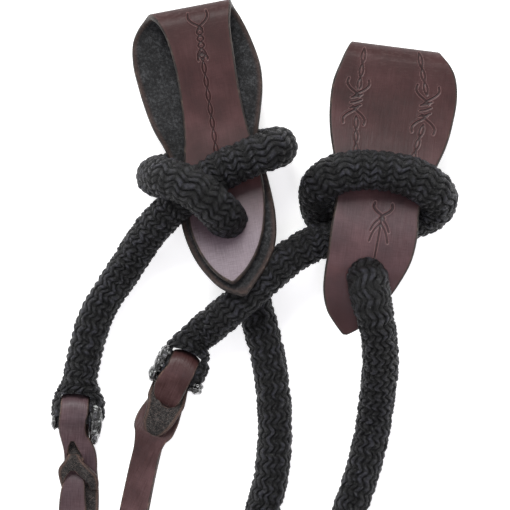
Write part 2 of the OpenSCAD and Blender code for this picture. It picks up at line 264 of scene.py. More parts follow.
def make_object(name, points, quads, triangles=(), materials=(), slots=None):
    """A smooth-shaded mesh object from arrays of points, four-sided and three-sided faces."""
    points = np.asarray(points, np.float32)
    quads = np.asarray(quads, np.int32).reshape(-1, 4)
    triangles = np.asarray(triangles, np.int32).reshape(-1, 3)
    mesh = bpy.data.meshes.new(name)
    mesh.vertices.add(len(points))
    mesh.vertices.foreach_set("co", points.ravel())
    corners = np.concatenate([quads.ravel(), triangles.ravel()])
    totals = np.concatenate([np.full(len(quads), 4), np.full(len(triangles), 3)])
    mesh.loops.add(len(corners))
    mesh.loops.foreach_set("vertex_index", corners.astype(np.int32))
    mesh.polygons.add(len(totals))
    starts = np.concatenate([[0], np.cumsum(totals)[:-1]]).astype(np.int32)
    mesh.polygons.foreach_set("loop_start", starts)
    mesh.polygons.foreach_set("use_smooth", np.ones(len(totals), bool))
    for material in materials:
        mesh.materials.append(material)
    if slots is not None:
        mesh.polygons.foreach_set("material_index", np.asarray(slots, np.int32))
    mesh.update(calc_edges=True)
    mesh.validate()
    return link(name, mesh)


def add_value(piece, name, values):
    """A number for each point, which materials read by name."""
    attribute = piece.data.attributes.new(name, "FLOAT", "POINT")
    attribute.data.foreach_set("value", np.asarray(values, np.float32))


def add_uv(piece, corner_uv):
    layer = piece.data.uv_layers.new(name="surface")
    layer.data.foreach_set("uv", np.asarray(corner_uv, np.float32).ravel())


def unit(vectors):
    return vectors / np.maximum(np.linalg.norm(vectors, axis=-1, keepdims=True), 1e-12)


def smoothstep(low, high, values):
    t = np.clip((values - low) / (high - low), 0.0, 1.0)
    return t * t * (3 - 2 * t)


def wobble(seed, values, spacing):
    """Smooth noise between -1 and 1 along one number, the same for the same seed."""
    draws = np.random.default_rng(seed).uniform(-1, 1, WOBBLE_DRAWS)
    place = np.asarray(values) / spacing + WOBBLE_DRAWS // 2
    low = np.floor(place).astype(int)
    t = place - low
    t = t * t * (3 - 2 * t)
    return draws[low % WOBBLE_DRAWS] * (1 - t) + draws[(low + 1) % WOBBLE_DRAWS] * t


# --- The rope's line ------------------------------------------------------------------

LINE_STEP = 0.0005
LINE_SMOOTHING = 0.0022


def axes(lean):
    """The directions along something that leans, away from its start, and to its right."""
    sine, cosine = math.sin(lean), math.cos(lean)
    return np.array([sine, -cosine, 0.0]), np.array([cosine, sine, 0.0])


def eye_place(eye, lean, past, aside, height):
    """The layout's point at a distance past an eye and to its right, at a height."""
    onward, right = axes(lean)
    past, aside, height = np.broadcast_arrays(past, aside, height)
    flat = np.array(eye) + past[..., None] * onward[:2] + aside[..., None] * right[:2]
    return np.concatenate([flat, height[..., None]], axis=-1)


def coil_points():
    turns = COIL_LOWER_TURNS + COIL_UPPER_TURNS
    t = np.linspace(0, turns, int(turns * COIL_POINTS_PER_TURN) + 1)
    inner = COIL_OUTER - COIL_PITCH * COIL_LOWER_TURNS
    radius = inner + COIL_PITCH * np.abs(t - COIL_LOWER_TURNS)
    angle = COIL_ENTRY + 2 * math.pi * t
    half = COIL_CLIMB_TURNS / 2
    climb = smoothstep(COIL_LOWER_TURNS - half, COIL_LOWER_TURNS + half, t)
    height = ROPE_RADIUS + COIL_PITCH * climb
    x = COIL_CENTRE[0] + radius * np.cos(angle)
    y = COIL_CENTRE[1] + radius * np.sin(angle)
    return np.stack([x, y, height], axis=1)


def lengths_along(points):
    """How far along a line each of its points is."""
    gaps = np.linalg.norm(np.diff(points[:, :3], axis=0), axis=1)
    return np.concatenate([[0], np.cumsum(gaps)])


def mixed(t, low, high, a, b):
    """The value at t on a line from a at low to b at high."""
    return ((high - t) * a + (t - low) * b) / (high - low)


def spline(points, step):
    """A smooth curve through points that may be unevenly spaced, sampled at equal steps.

    The first three columns are the place. Any others are carried along with it.
    """
    points = np.asarray(points, float)
    gaps = np.linalg.norm(np.diff(points[:, :3], axis=0), axis=1) ** 0.5
    knots = np.concatenate([[0], np.cumsum(gaps)])
    before = points[0] * 2 - points[1]
    after = points[-1] * 2 - points[-2]
    p = np.vstack([before, points, after])
    k = np.concatenate([[-gaps[0]], knots, [knots[-1] + gaps[-1]]])
    pieces = []
    for i in range(1, len(p) - 2):
        k0, k1, k2, k3 = k[i - 1 : i + 3]
        p0, p1, p2, p3 = p[i - 1 : i + 3]
        count = max(2, int(np.linalg.norm((p2 - p1)[:3]) / step) + 1)
        t = np.linspace(k1, k2, count, endpoint=False)[:, None]
        a, b, c = mixed(t, k0, k1, p0, p1), mixed(t, k1, k2, p1, p2), mixed(t, k2, k3, p2, p3)
        pieces.append(mixed(t, k1, k2, mixed(t, k0, k2, a, b), mixed(t, k1, k3, b, c)))
    curve = np.vstack(pieces + [p[-2:-1]])
    length = lengths_along(curve)
    even = np.linspace(0, length[-1], int(length[-1] / step) + 1)
    return np.stack([np.interp(even, length, column) for column in curve.T], axis=1)


def smoothed(curve, width):
    """The curve with its small kinks evened out, its two ends kept."""
    reach = int(4 * width / LINE_STEP)
    weights = np.exp(-0.5 * (np.arange(-reach, reach + 1) * LINE_STEP / width) ** 2)
    weights /= weights.sum()
    head = 2 * curve[0] - curve[reach:0:-1]
    tail = 2 * curve[-1] - curve[-2 : -reach - 2 : -1]
    padded = np.vstack([head, curve, tail])
    return np.stack([np.convolve(padded[:, c], weights, "valid") for c in range(3)], axis=1)


class RopeLine:
    """The whole rope's centreline, from the left eye to the right eye, with a frame on it."""

    def __init__(self):
        past = np.array([ROPE_END_START + ROPE_END_LENGTH, LAST_BEND_PAST])
        left_end = eye_place(LEFT_EYE, LEFT_EYE_LEAN, past, 0.0, EYE_HEIGHT)
        right_end = eye_place(RIGHT_EYE, RIGHT_EYE_LEAN, past[::-1], 0.0, EYE_HEIGHT)
        left = (LEFT_REIN + LEFT_HITCH + LEFT_TAIL)[::-1]
        right = RIGHT_REIN + RIGHT_HITCH + RIGHT_TAIL
        coil = coil_points()[1:-1]
        route = np.vstack([left_end, left, coil, right, right_end])
        self.points = smoothed(spline(route, LINE_STEP), LINE_SMOOTHING)
        self.at = lengths_along(self.points)
        self.along = unit(np.gradient(self.points, axis=0))
        self.side = np.zeros_like(self.points)
        normal = np.cross(self.along[0], UP)
        for i, direction in enumerate(self.along):
            normal = normal - direction * (normal @ direction)
            normal = normal / math.sqrt(normal @ normal)
            self.side[i] = normal
        self.up = np.cross(self.along, self.side)
        self.hitches = [
            (self.place(LEFT_TAIL[0]), self.place(LEFT_REIN[-1])),
            (self.place(RIGHT_REIN[-1]), self.place(RIGHT_TAIL[0])),
        ]

    def swell(self, s):
        """How much thicker the rope is where it is pressed together in a hitch."""
        return sum(
            HITCH_SWELL
            * smoothstep(a, a + SWELL_BLEND, s)
            * (1 - smoothstep(b - SWELL_BLEND, b, s))
            for a, b in self.hitches
        )

    def place(self, point):
        """The distance along the rope that is nearest to a point of the layout."""
        return self.at[np.linalg.norm(self.points - np.array(point), axis=1).argmin()]

    def sample(self, s):
        """Places on the rope, and the directions to its side and upwards there."""
        points, side, up = (
            np.stack([np.interp(s, self.at, column) for column in table.T], axis=1)
            for table in (self.points, self.side, self.up)
        )
        return points, unit(side), unit(up)


# --- The rope's braid -----------------------------------------------------------------

# Sixteen ribs of yarn run round the rope. They zigzag along it in step.
RIBS = 16
ZIG = 0.0033
ZIG_SHIFT = 0.78
ZIG_SHARPNESS = 0.97
YARN_RELIEF = 0.0015
YARN_TOP = 0.0082
HITCH_SWELL = 0.0011
SWELL_BLEND = 0.02
ROPE_WAVES = 0.00015
# How far yarns wander, in ribs, and how much their loops' heights differ, in reliefs
YARN_WANDER = 0.24
LOOP_HEIGHTS = 0.34
LOOP_DRAWS = 2048
YARN_ROUNDNESS = 2.6
# A loop dives under the next one, over a short length, and then rises again
DIVE_DEPTH = 0.62
DIVE_LENGTH = 0.0006
DIVE_RISE = 0.24
# The columns are places across a rib, and the rows are counted along one zig
FINE_COLUMNS = (-1.0, -0.82, -0.45, 0.0, 0.45, 0.82)
FINE_ROWS = 6
COARSE_COLUMNS = (-1.0, -0.4, 0.4)
COARSE_ROWS = 2


def braid(line, start, end, columns, rows_per_zig, shape=None):
    """Places along the rope, and the braid's points, crevices and tones there."""
    step = ZIG / rows_per_zig
    s = np.arange(round(start / step), round(end / step) + 1) * step
    centre, side, up = line.sample(s)
    across = np.array(columns)
    rib = np.repeat(np.arange(RIBS), len(across))
    x = np.tile(across, RIBS)
    phase = s / ZIG
    zigzag = np.arcsin(ZIG_SHARPNESS * np.sin(math.pi * phase)) / (2 * math.asin(ZIG_SHARPNESS))
    # Yarns wander a little, and no two loops are the same height
    rng = np.random.default_rng(7)
    wander = rng.uniform(-YARN_WANDER, YARN_WANDER, (RIBS, LOOP_DRAWS))
    height = rng.uniform(-1.0, 1.0, (RIBS, LOOP_DRAWS))
    loop = np.floor(phase).astype(int)
    between = (phase - loop)[:, None]
    now, after = loop % LOOP_DRAWS, (loop + 1) % LOOP_DRAWS
    edge = wander[:, now].T * (1 - between) + wander[:, after].T * between
    ahead = np.roll(edge, -1, axis=1)
    mix = (x + 1) / 2
    drift = edge[:, rib] * (1 - mix) + ahead[:, rib] * mix
    turn = (rib + mix + drift + ZIG_SHIFT * zigzag[:, None]) * 2 * math.pi / RIBS
    crown = np.sqrt(np.clip(1 - np.abs(x) ** YARN_ROUNDNESS, 0.0, 1.0))
    # A loop dives under the next one where the zigzag turns, most on the inner side
    nearest = np.round(phase - 0.5)
    from_turn = (phase - 0.5 - nearest) * ZIG
    inner = np.where(nearest.astype(int) % 2 == 0, 1.0, -1.0)
    dive = np.exp(-((from_turn / DIVE_LENGTH) ** 2))[:, None]
    dive = dive * (0.6 + 0.4 * np.clip(x * inner[:, None], -0.6, 1.0)) * crown
    loops = height[:, now].T[:, rib]
    swell = np.sin(math.pi * between) ** 0.5
    rise = np.modf(phase + 0.5)[0][:, None] - 0.5
    relief = crown * (1 - DIVE_DEPTH * dive + DIVE_RISE * rise)
    relief = relief + LOOP_HEIGHTS * loops * crown * swell - 0.1
    depth = (relief - 1.0) * YARN_RELIEF
    body = ROPE_WAVES * wobble(11, s, 0.021)[:, None] + line.swell(s)[:, None]
    radius = YARN_TOP + depth + body
    out = np.cos(turn)[..., None] * side[:, None] + np.sin(turn)[..., None] * up[:, None]
    offset = radius[..., None] * out
    if shape is not None:
        offset = shape(s, offset, radius)
    points = centre[:, None] + offset - MIDDLE
    # How far each point lies below its yarn's crown, which the rope's paint turns into painted
    # shade
    crevice = np.clip(1.0 - relief, 0.0, 1.0)
    return s, points, crevice, loops


def tube_faces(rows, columns, first):
    i = np.arange(rows - 1)[:, None] * columns + first
    j = np.arange(columns)[None, :]
    k = (j + 1) % columns
    return np.stack([i + j, i + k, i + columns + k, i + columns + j], axis=-1).reshape(-1, 4)


def tube_uv(s, columns):
    """Each corner's place on the unrolled braid, counted in ribs and in zigs."""
    u, v = np.meshgrid(np.arange(columns + 1) * RIBS / columns, s / ZIG)
    grid = np.stack([u, v], axis=-1)
    corners = [grid[:-1, :-1], grid[:-1, 1:], grid[1:, 1:], grid[1:, :-1]]
    return np.stack(corners, axis=2).reshape(-1, 2)


def braided_rope(name, line, spans, material, shape=None):
    """One piece of rope. Each span is (start, end, columns, rows per zig)."""
    points, quads, triangles, uv, crevices, tones = [], [], [], [], [], []
    first = 0
    for start, end, columns, rows_per_zig in spans:
        s, grid, crevice, tone = braid(line, start, end, columns, rows_per_zig, shape)
        rows, count = grid.shape[:2]
        points.append(grid.reshape(-1, 3))
        quads.append(tube_faces(rows, count, first))
        uv.append(tube_uv(s, count))
        crevices.append(crevice.ravel())
        tones.append(tone.ravel())
        first += rows * count
        # Each end is closed by a fan of its own, so that the braid's shading stays clean
        for row, flip in ((0, False), (-1, True)):
            points.append(np.vstack([grid[row], grid[row].mean(axis=0)]))
            j = np.arange(count) + first
            k = (np.arange(count) + 1) % count + first
            hub = np.full(count, first + count)
            triangles.append(np.stack([j, k, hub] if flip else [k, j, hub], axis=1))
            crevices.append(np.ones(count + 1))
            tones.append(np.zeros(count + 1))
            first += count + 1
    caps = np.vstack(triangles)
    piece = make_object(name, np.vstack(points), np.vstack(quads), caps, [material])
    add_value(piece, "crevice", np.concatenate(crevices))
    add_value(piece, "tone", np.concatenate(tones))
    add_uv(piece, np.vstack(uv + [np.zeros((3 * len(caps), 2))]))
    return piece


# --- The rope's pieces ----------------------------------------------------------------

# The flattened and sealed end: (distance past the eye, half width, half height)
ROPE_END_OUTLINE = [
    (-0.014, 0.008, 0.008), (-0.008, 0.0106, 0.0079), (-0.003, 0.0124, 0.0078),
    (0.002, 0.0124, 0.0077), (0.006, 0.0112, 0.0068), (0.008, 0.0098, 0.0056),
    (0.0092, 0.0078, 0.0038), (0.0096, 0.0055, 0.002),
]
MELTED_RADIUS = 0.0079
BAR_RADIUS = 0.0057
BAR_OVERLAP = 0.002
SLOT_HALF_WIDTH = 0.0069
SLOT_START = -0.0071
SLOT_CROWN = -0.0083
SLOT_END = 0.02
SLOT_BOTTOM = -0.005
SLOT_HEIGHT = 0.03


class RopeEnd:
    """The flared end at one eye. way is 1 if the rope's line ends there, and -1 if it starts."""

    def __init__(self, eye, lean, shift, tail_at, way):
        self.eye, self.lean, self.shift, self.tail_at, self.way = eye, lean, shift, tail_at, way
        self.aside = axes(lean)[1]

    def place(self, past, aside, height):
        return eye_place(self.eye, self.lean, past, aside, height) - MIDDLE

    def shape(self, s, offset, radius):
        """Flattens the braid, and melts it smooth towards its end."""
        past = ROPE_END_START + self.way * (s - self.tail_at)
        table = np.array(ROPE_END_OUTLINE)
        wide = np.interp(past, table[:, 0], table[:, 1])[:, None, None] / ROPE_RADIUS
        high = np.interp(past, table[:, 0], table[:, 2])[:, None, None] / ROPE_RADIUS
        melted = 0.5 * smoothstep(-0.007, -0.001, past) + 0.5 * smoothstep(0.001, 0.007, past)
        melted = melted[:, None, None]
        even = offset * (MELTED_RADIUS / radius)[..., None]
        offset = offset * (1 - melted) + even * melted
        aside = (offset @ self.aside)[..., None] * self.aside
        upward = offset * UP
        rest = offset - aside - upward
        return rest + aside * wide + upward * high


def turn_faces_out(mesh, merge=False):
    """Makes a solid's faces point outwards, once its doubled points are merged if asked."""
    solid = bmesh.new()
    solid.from_mesh(mesh)
    if merge:
        bmesh.ops.remove_doubles(solid, verts=solid.verts, dist=1e-7)
    bmesh.ops.recalc_face_normals(solid, faces=solid.faces)
    solid.to_mesh(mesh)
    solid.free()


def prism(name, outline, axis, material):
    """A closed solid between an outline and the same outline moved by axis."""
    count = len(outline)
    points = np.vstack([outline, outline + axis])
    sides = [(j, (j + 1) % count, (j + 1) % count + count, j + count) for j in range(count)]
    caps = [tuple(range(count))[::-1], tuple(range(count, 2 * count))]
    mesh = bpy.data.meshes.new(name)
    mesh.from_pydata(points.tolist(), [], sides + caps)
    mesh.materials.append(material)
    turn_faces_out(mesh)
    return link(name, mesh)


def cut_out(piece, tool):
    """Cuts a tool out of a piece, and removes the tool."""
    change = piece.modifiers.new("cut", "BOOLEAN")
    change.operation = "DIFFERENCE"
    change.object = tool
    change.solver = "EXACT"
    change.material_mode = "TRANSFER"
    bpy.context.view_layer.update()
    ready = piece.evaluated_get(bpy.context.evaluated_depsgraph_get())
    mesh = bpy.data.meshes.new_from_object(ready)
    piece.modifiers.remove(change)
    piece.data = mesh
    bpy.data.objects.remove(tool)


def rope_end(name, line, end, span, materials):
    """The rope's end with the slot and the bar that the lash turns on."""
    start, stop = span
    spans = [(start, stop, FINE_COLUMNS, FINE_ROWS)]
    piece = braided_rope(name, line, spans, materials[0], end.shape)
    turn_faces_out(piece.data, merge=True)
    crown = np.linspace(-1, 1, 13)
    aside = np.concatenate([crown * SLOT_HALF_WIDTH, [SLOT_HALF_WIDTH, -SLOT_HALF_WIDTH]])
    rise = (SLOT_START - SLOT_CROWN) * (1 - crown**2)
    past = np.concatenate([SLOT_START - rise, [SLOT_END, SLOT_END]])
    slot_outline = end.place(past, aside + end.shift, SLOT_BOTTOM)
    slot = prism("slot", slot_outline, SLOT_HEIGHT * UP, materials[1])
    turn = np.linspace(0, 2 * math.pi, 40, endpoint=False)
    half = SLOT_HALF_WIDTH + BAR_OVERLAP
    circle = end.place(
        BAR_RADIUS * np.cos(turn), end.shift - half, EYE_HEIGHT + BAR_RADIUS * np.sin(turn)
    )
    bar = prism("bar", circle, 2 * half * end.aside, materials[1])
    cut_out(slot, bar)
    cut_out(piece, slot)
    piece.data.polygons.foreach_set("use_smooth", np.ones(len(piece.data.polygons), bool))
    piece.data.set_sharp_from_angle(angle=math.radians(50))
    return piece


def sealed_lumps(name, end, lumps, material):
    """Melted nylon at the rope's cut end, from a table of lumps in mm."""
    points, triangles, first = [], [], 0
    for number, (past, aside, height, long, wide, high) in enumerate(np.array(lumps) * MM):
        ball = bmesh.new()
        bmesh.ops.create_icosphere(ball, subdivisions=4, radius=1.0)
        co = np.array([v.co for v in ball.verts])
        faces = np.array([[v.index for v in f.verts] for f in ball.faces])
        ball.free()
        rough = 0.16 * wobble(31 + number, co[:, 0] + 0.3 * co[:, 2], 0.45)
        rough += 0.14 * wobble(57 + number, co[:, 1] - 0.4 * co[:, 2], 0.38)
        rough += 0.05 * wobble(83 + number, co[:, 0] - co[:, 1], 0.12)
        co = co * (1 + rough)[:, None]
        points.append(end.place(
            past + long * co[:, 0], aside + wide * co[:, 1], height + high * co[:, 2]
        ))
        triangles.append(faces[:, ::-1] + first)
        first += len(co)
    return make_object(name, np.vstack(points), [], np.vstack(triangles), [material])


# --- Leather --------------------------------------------------------------------------

RIM_ANGLES = np.radians([60, 30, 0, -30, -60])


def every_column(values, columns):
    """A grid with the same values in each of its columns."""
    return np.repeat(np.asarray(values)[:, None], columns, axis=1)


def leather_sheet(name, middle, normal, thickness, keep, uv, values, materials, rim, relief=None):
    """A sheet of leather with rounded edges round everything that it keeps.

    middle and normal are grids of points and directions, and keep says which of the grid's
    faces are there. The materials are those of its upper side, its lower side and its edge.
    """
    rows, columns = middle.shape[:2]
    relief = np.zeros((rows, columns)) if relief is None else relief
    upper = middle + normal * (thickness / 2 + relief)[..., None]
    lower = middle - normal * (thickness / 2)
    number = np.arange(rows * columns).reshape(rows, columns)
    quads = np.stack(
        [number[:-1, :-1], number[:-1, 1:], number[1:, 1:], number[1:, :-1]], axis=-1
    )[keep]
    flat = upper.reshape(-1, 3)
    first = quads[len(quads) // 2]
    facing = np.cross(flat[first[1]] - flat[first[0]], flat[first[3]] - flat[first[0]])
    if facing @ normal.reshape(-1, 3)[first[0]] < 0:
        quads = quads[:, ::-1]
    total = rows * columns
    edges = np.stack([quads, np.roll(quads, -1, axis=1)], axis=-1).reshape(-1, 2)
    code = edges[:, 0].astype(np.int64) * total + edges[:, 1]
    back = edges[:, 1].astype(np.int64) * total + edges[:, 0]
    rim_edges = edges[~np.isin(code, back)]
    # Directions out of the sheet at its edge
    n = normal.reshape(-1, 3)
    out = np.zeros((total, 3))
    outward = unit(np.cross(flat[rim_edges[:, 1]] - flat[rim_edges[:, 0]], n[rim_edges[:, 0]]))
    np.add.at(out, rim_edges[:, 0], outward)
    np.add.at(out, rim_edges[:, 1], outward)
    on_rim = np.unique(rim_edges)
    out = unit(out[on_rim])
    place = np.full(total, -1)
    place[on_rim] = np.arange(len(on_rim))
    centre = (upper.reshape(-1, 3) + lower.reshape(-1, 3))[on_rim] / 2
    half = np.broadcast_to(thickness, (rows, columns)).reshape(-1)[on_rim] / 2
    rings = [
        centre + out * rim * math.cos(a) + n[on_rim] * (half * math.sin(a))[:, None]
        for a in RIM_ANGLES
    ]
    points = np.vstack([flat, lower.reshape(-1, 3)] + rings)
    layers = [rim_edges]
    layers += [place[rim_edges] + 2 * total + k * len(on_rim) for k in range(len(rings))]
    layers += [rim_edges + total]
    walls = [
        np.stack([above[:, 1], above[:, 0], below[:, 0], below[:, 1]], axis=1)
        for above, below in zip(layers[:-1], layers[1:])
    ]
    faces = np.vstack([quads, quads[:, ::-1] + total] + walls)
    slots = np.repeat([0, 1, 2], [len(quads), len(quads), len(rim_edges) * len(walls)])
    used = np.unique(faces)
    renumber = np.zeros(len(points), int)
    renumber[used] = np.arange(len(used))
    source = np.concatenate([np.arange(total)] * 2 + [on_rim] * len(rings))
    piece = make_object(name, points[used], renumber[faces], (), materials, slots)
    for key, grid in values.items():
        add_value(piece, key, grid.reshape(-1)[source][used])
    flat_uv = uv.reshape(-1, 2)[source]
    add_uv(piece, flat_uv[faces.reshape(-1)])
    return piece


# --- The slobber straps ---------------------------------------------------------------

STRAP_COLUMNS = 110
STRAP_RIM = 0.0009
FRONT_ROW = 0.00042
BACK_ROW = 0.0016
SIDE_STEP = 0.0002
FOLD_BLEND = 0.009
NARROWEST_TIP = 0.0008
STRAP_WAVES = 0.00012
STRAP_BORDER = 0.004
BEND_REACH = 0.012


def profile(table, at):
    """The table's other columns at distances from the fold, on a smooth curve."""
    curve = spline(np.array(table), SIDE_STEP)
    order = np.argsort(curve[:, 0], kind="stable")
    return [np.interp(at, curve[order, 0], curve[order, c]) for c in (1, 2)]


def strap(name, fold, lean, fold_height, hole, sides, outlines, tooling, sheen_and_shade, materials):
    """A strap from its front tip, round the fold, to its back tip, as one sheet.

    The amounts of painted light, as (distance from the fold, amount), give a pale lilac
    painted sheen above zero and a dark red painted shade below zero.
    """
    front_side, back_side = sides
    turn = np.radians(np.arange(75, -76, -15))
    bend_u = front_side[0][0] - FOLD_RADIUS * np.cos(turn)
    bend_z = fold_height + FOLD_RADIUS * np.sin(turn)
    side = [(u, 0.0, z) for u, z in front_side[::-1]]
    side += list(zip(bend_u, np.zeros(len(turn)), bend_z))
    side += [(u, 0.0, z) for u, z in back_side]
    curve = spline(np.array(side), SIDE_STEP)
    q = np.arange(len(curve)) * SIDE_STEP
    q_fold = q[curve[:, 0].argmin()]
    outline = [np.array(o) for o in outlines]
    # Rows stop where the tip is too narrow for its rounded edge
    stops = []
    for table in outline:
        u = np.arange(table[-1, 0] - 0.02, table[-1, 0], SIDE_STEP)
        left, right = profile(table, u)
        stops.append(u[right - left > 2 * STRAP_RIM + NARROWEST_TIP].max())
    front = q < q_fold
    q_start = np.interp(-stops[0], -curve[front, 0], q[front])
    q_stop = np.interp(stops[1], curve[~front, 0], q[~front])
    bend_end = q_fold + 0.02
    row_q = np.concatenate(
        [np.arange(q_start, bend_end, FRONT_ROW), np.arange(bend_end, q_stop, BACK_ROW), [q_stop]]
    )
    row_u = np.interp(row_q, q, curve[:, 0])
    front_edges, back_edges = (profile(table, row_u) for table in outline)
    mix = smoothstep(q_fold - FOLD_BLEND, q_fold + FOLD_BLEND, row_q)
    left = front_edges[0] * (1 - mix) + back_edges[0] * mix + STRAP_RIM
    right = front_edges[1] * (1 - mix) + back_edges[1] * mix - STRAP_RIM
    share = np.linspace(0, 1, STRAP_COLUMNS)
    v = left[:, None] + (right - left)[:, None] * share
    u = every_column(row_u, STRAP_COLUMNS)
    # The rope's hole goes through both halves
    hole_u, hole_v = hole
    reach = HOLE_RADIUS + STRAP_RIM
    far = np.hypot(u - hole_u, v - hole_v)
    inside = far < reach
    keep = ~(inside[:-1, :-1] & inside[:-1, 1:] & inside[1:, :-1] & inside[1:, 1:])
    scale = np.where(inside, reach / np.maximum(far, 1e-6), 1.0)
    u = hole_u + (u - hole_u) * scale
    v = hole_v + (v - hole_v) * scale
    on_front = every_column(row_q < q_fold, STRAP_COLUMNS)
    moved_front = np.interp(-u, -curve[front, 0], q[front])
    moved_back = np.interp(u, curve[~front, 0], q[~front])
    at = every_column(row_q, STRAP_COLUMNS)
    at = np.where(inside, np.where(on_front, moved_front, moved_back), at)
    slope = unit(np.gradient(curve, axis=0))
    z = np.interp(at, q, curve[:, 2])
    slope_u = np.interp(at, q, slope[:, 0])
    slope_z = np.interp(at, q, slope[:, 2])
    u_axis, v_axis = axes(lean)
    middle = np.array([fold[0], fold[1], 0.0]) - MIDDLE
    middle = middle + u[..., None] * u_axis + v[..., None] * v_axis + z[..., None] * UP
    normal = unit(slope_z[..., None] * u_axis - slope_u[..., None] * UP)
    middle = middle + normal * (STRAP_WAVES * wobble(5, at + 0.3 * v, 0.013))[..., None]
    stroke, relief = tooling(u, v)
    stroke, relief = stroke * on_front, relief * on_front
    near_edge = np.minimum(v - left[:, None], right[:, None] - v)
    ends = np.minimum(row_q - q_start, q_stop - row_q)[:, None]
    near_edge = np.minimum(near_edge, 0.6 * ends)
    values = {
        "tool": stroke,
        "edge": np.clip(near_edge / STRAP_BORDER, 0, 1),
        "bend": np.exp(-(((at - q_fold) / BEND_REACH) ** 2)),
        # Painted sheen above zero and painted shade below zero, along the strap
        "sheen_and_shade": np.interp(u, *np.array(sheen_and_shade).T),
    }
    uv = np.stack([v, at], axis=-1)
    return leather_sheet(
        name, middle, normal, LEATHER_THICKNESS, keep, uv, values, materials, STRAP_RIM, relief
    )


# --- The straps' tooling --------------------------------------------------------------

STROKE_STEP = 0.0002
STROKE_DEPTH = 0.0006
WIRE_TURN = 0.0125


def draw(strokes, u, v):
    """How dark the tooled strokes are at each point, and how deep. A stroke is (width, points)."""
    groove, lip = np.zeros(u.size), np.zeros(u.size)
    flat = np.stack([u.ravel(), v.ravel()], axis=1)
    for width, points in strokes:
        curve = spline(np.array([(a, b, 0.0) for a, b in points]), STROKE_STEP)[:, :2]
        low, high = curve.min(axis=0) - 4 * width, curve.max(axis=0) + 4 * width
        near = np.flatnonzero(((flat > low) & (flat < high)).all(axis=1))
        if not len(near):
            continue
        gap = flat[near][:, None] - curve[None]
        far = np.sqrt((gap**2).sum(axis=-1).min(axis=1)) / width
        groove[near] = np.maximum(groove[near], np.exp(-(far**2)))
        lip[near] = np.maximum(lip[near], np.exp(-(((far - 1.8) / 0.6) ** 2)))
    relief = 0.3 * lip * (1 - groove) - groove
    return groove.reshape(u.shape), relief.reshape(u.shape) * STROKE_DEPTH


def wire(start, end):
    """Two strands that cross now and then along a line."""
    return twist(start, end, math.dist(start, end) / WIRE_TURN, 0.00085, 0.00034)


def twist(start, end, turns, spread, width):
    """Two strands wound round each other along a line."""
    t = np.linspace(0, 1, int(turns * 8) + 4)
    line = np.outer(1 - t, start) + np.outer(t, end)
    aside = np.array([end[1] - start[1], start[0] - end[0]])
    aside = aside / np.linalg.norm(aside)
    wave = np.sin(2 * math.pi * turns * t)[:, None] * aside * spread
    return [(width, [tuple(p) for p in line + wave]), (width, [tuple(p) for p in line - wave])]


def horns(u, v, size, turn, width=0.00042):
    """Two curved points that open from a place on a wire. turn is -1 towards the fold."""
    shape = [(-0.25, -0.22), (0.1, 0.12), (0.45, 0.62), (0.85, 0.92), (1.25, 0.86)]
    return [
        (width, [(u + turn * a * size, v + side * b * size) for a, b in shape])
        for side in (-1, 1)
    ]


def knot(u, v, size):
    """A barb: two pairs of points, and the turns of wire between them."""
    strokes = horns(u - 0.42 * size, v, 0.62 * size, -1) + horns(u + 0.42 * size, v, 0.62 * size, 1)
    for turn in (-0.30, -0.02, 0.26):
        low = (u + (turn + 0.11) * size, v - 0.27 * size)
        middle = (u + (turn + 0.03) * size, v)
        high = (u + (turn - 0.11) * size, v + 0.27 * size)
        strokes += [(0.00036, [low, middle, high])]
    return strokes


def left_tooling(u, v):
    strokes = horns(0.0106, 0.0022, 0.0048, -1)
    strokes += twist((0.0115, 0.0020), (0.0235, 0.0011), 2.0, 0.0014, 0.00036)
    strokes += horns(0.0225, 0.0011, 0.0024, 1) + horns(0.0250, 0.0010, 0.0020, -1)
    strokes += wire((0.026, 0.001), (0.083, -0.0013))
    return draw(strokes, u, v)


def right_tooling(u, v):
    strokes = wire((0.004, -0.0137), (0.0215, -0.0140))
    strokes += knot(0.0275, -0.0145, 0.0085)
    strokes += wire((0.034, -0.0136), (0.060, -0.0105))
    strokes += wire((0.003, 0.0108), (0.0205, 0.0166))
    strokes += knot(0.0272, 0.0167, 0.0090)
    strokes += wire((0.034, 0.0166), (0.062, 0.0120))
    strokes += horns(0.0772, 0.0032, 0.0045, -1, 0.0005)
    strokes += [(0.0004, [(0.0770, 0.0031), (0.0865, 0.0026), (0.0957, 0.0020)])]
    for start, length in ((0.0790, 0.005), (0.0815, 0.0072)):
        for side in (1, -1):
            tip = (start + length, 0.0028 + side * 0.0041)
            bend = (start + 0.35 * length, 0.0028 + side * 0.0026)
            strokes += [(0.00038, [(start - 0.001, 0.0029), bend, tip])]
    return draw(strokes, u, v)


# --- The lashes -----------------------------------------------------------------------

LASH_THICKNESS = 0.0018
LASH_RIM = 0.0006
LASH_ROW = 0.00045
LASH_COLUMNS = 36
TIP_SKEW = 0.010
NO_GAP = 0.0002
LASH_WAVES = 0.00022
LASH_BORDER = 0.0025

# How far past the eye each lash's two tails end, in mm
LONG_TAIL_END = 132
SHORT_TAIL_END = 121

# The ring round the rope's bar, seen from the side: (distance past the eye, height), in mm
RING = [
    (13, 2.2), (9, 1.4), (3, 1.0), (0, 1.0), (-3.8, 2.0), (-6.5, 4.7), (-7.4, 8.0),
    (-6.5, 11.4), (-3.8, 14.05), (0, 15.0),
]

# How far the right lash's tails have bent to the right at distances past the eye, in mm
RIGHT_TAIL_PAST = [36, 50, 66, 80, 110, 140]
RIGHT_TAIL_DRIFT = [0.4, 2.2, 5.4, 8.2, 15.2, 23]


